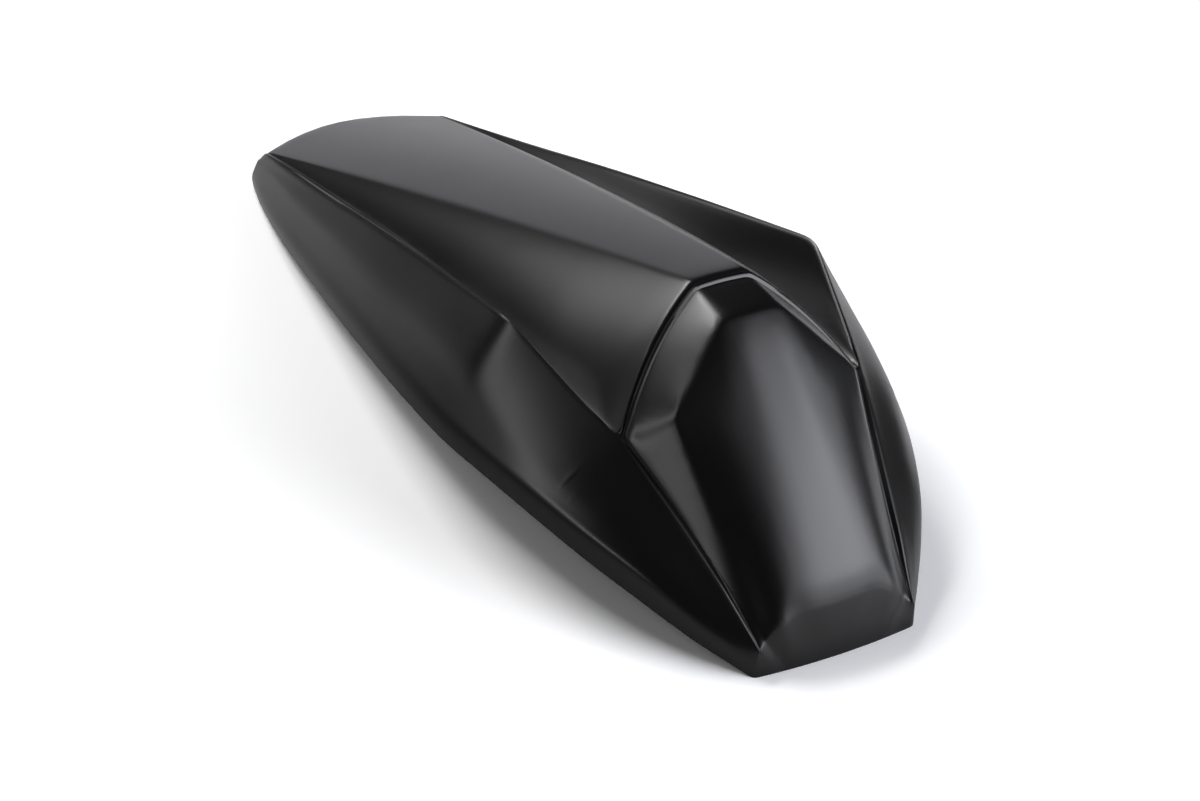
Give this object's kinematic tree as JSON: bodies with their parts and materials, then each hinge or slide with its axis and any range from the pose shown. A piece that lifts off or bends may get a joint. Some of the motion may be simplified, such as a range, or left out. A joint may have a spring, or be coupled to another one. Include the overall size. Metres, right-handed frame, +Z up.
{
  "type": "seat cowl",
  "caption": "One-piece moulded seat cowl: a low hump that narrows to the tail, raised wing edges, a faceted front panel set off by a groove, and screw bosses inside.",
  "frame": {"origin": "on the floor plane under the middle of the cowl's length and width", "axes": "+X across to the cowl's right side when seen from the nose with the tail ahead, +Y from the nose lip towards the tail, +Z up; the rim rests on z = 0 at the nose and at the tail"},
  "size_m": [0.1944, 0.4244, 0.1144],
  "materials": {
    "shell": "satin black, unpainted moulding"
  },
  "bodies": {
    "root": {"seat_cowl": "shell"}
  },
  "joints": []
}
